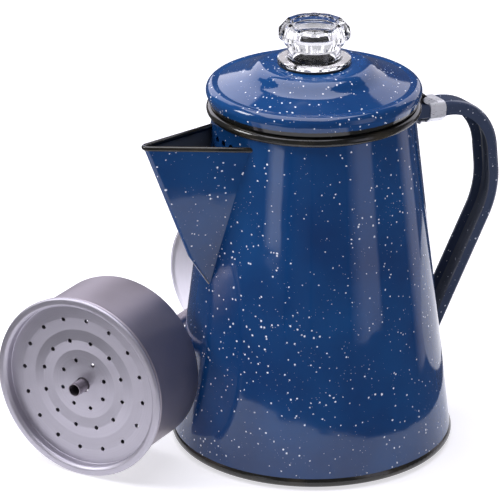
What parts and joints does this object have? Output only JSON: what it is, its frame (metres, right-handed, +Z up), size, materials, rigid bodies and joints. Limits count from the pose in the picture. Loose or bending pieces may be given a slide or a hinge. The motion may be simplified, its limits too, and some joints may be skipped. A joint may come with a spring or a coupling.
{
  "type": "coffee percolator",
  "caption": "Enamelled steel coffee percolator: tapered pot with V spout, strap handle and hinged lid with clear knob, plus a pump tube and coffee basket lying beside it.",
  "frame": {"origin": "on the pot's axis, at the surface it stands on", "axes": "+Z up along the pot's axis, +X toward the handle, -X toward the spout"},
  "size_m": [0.2725, 0.2172, 0.2318],
  "materials": {
    "blue_enamel": "gloss, white specks",
    "dark_enamel": "gloss, white specks",
    "black_trim": "gloss",
    "bright_steel": "bright",
    "strap_steel": "satin",
    "clear_knob": "clear, faceted",
    "gasket_rubber": "matt",
    "aluminium": "satin"
  },
  "bodies": {
    "pot": {"pot_wall": "blue_enamel", "base_pan": "dark_enamel", "base_bead": "black_trim", "rim_bead": "black_trim", "spout": "blue_enamel", "handle": "blue_enamel", "hinge_clip": "bright_steel", "hinge_pin": "bright_steel"},
    "lid": {"lid_shell": "blue_enamel", "lid_collar": "dark_enamel", "lid_hinge_strap": "strap_steel"},
    "knob": {"knob": "clear_knob", "knob_gasket": "gasket_rubber"},
    "pump": {"pump_tube": "aluminium", "stem_stop": "aluminium", "pump_foot": "aluminium", "foot_ferrule": "aluminium"},
    "basket": {"basket_cup": "aluminium", "basket_sleeve": "aluminium"},
    "spreader": {"spreader": "aluminium"}
  },
  "joints": [
    {"name": "lid_hinge", "type": "hinge", "parent": "pot", "child": "lid", "pos_m": [0.0659, 0, 0.1789], "axis": [0, 1, 0], "range_deg": [0, 105]},
    {"name": "knob_twist", "type": "hinge", "parent": "lid", "child": "knob", "pos_m": [0, 0, 0.2118], "axis": [0, 0, 1], "range_deg": [0, 90]},
    {"name": "pump_lift", "type": "slide", "parent": "pot", "child": "pump", "axis": [-0.3621, 0.6072, 0.7072], "range_m": [0, 0.25]},
    {"name": "basket_slide", "type": "slide", "parent": "pump", "child": "basket", "axis": [-0.8584, -0.5127, 0.016], "range_m": [0, 0.06]},
    {"name": "spreader_lift", "type": "slide", "parent": "basket", "child": "spreader", "axis": [-0.8584, -0.5127, 0.016], "range_m": [0, 0.06]}
  ]
}
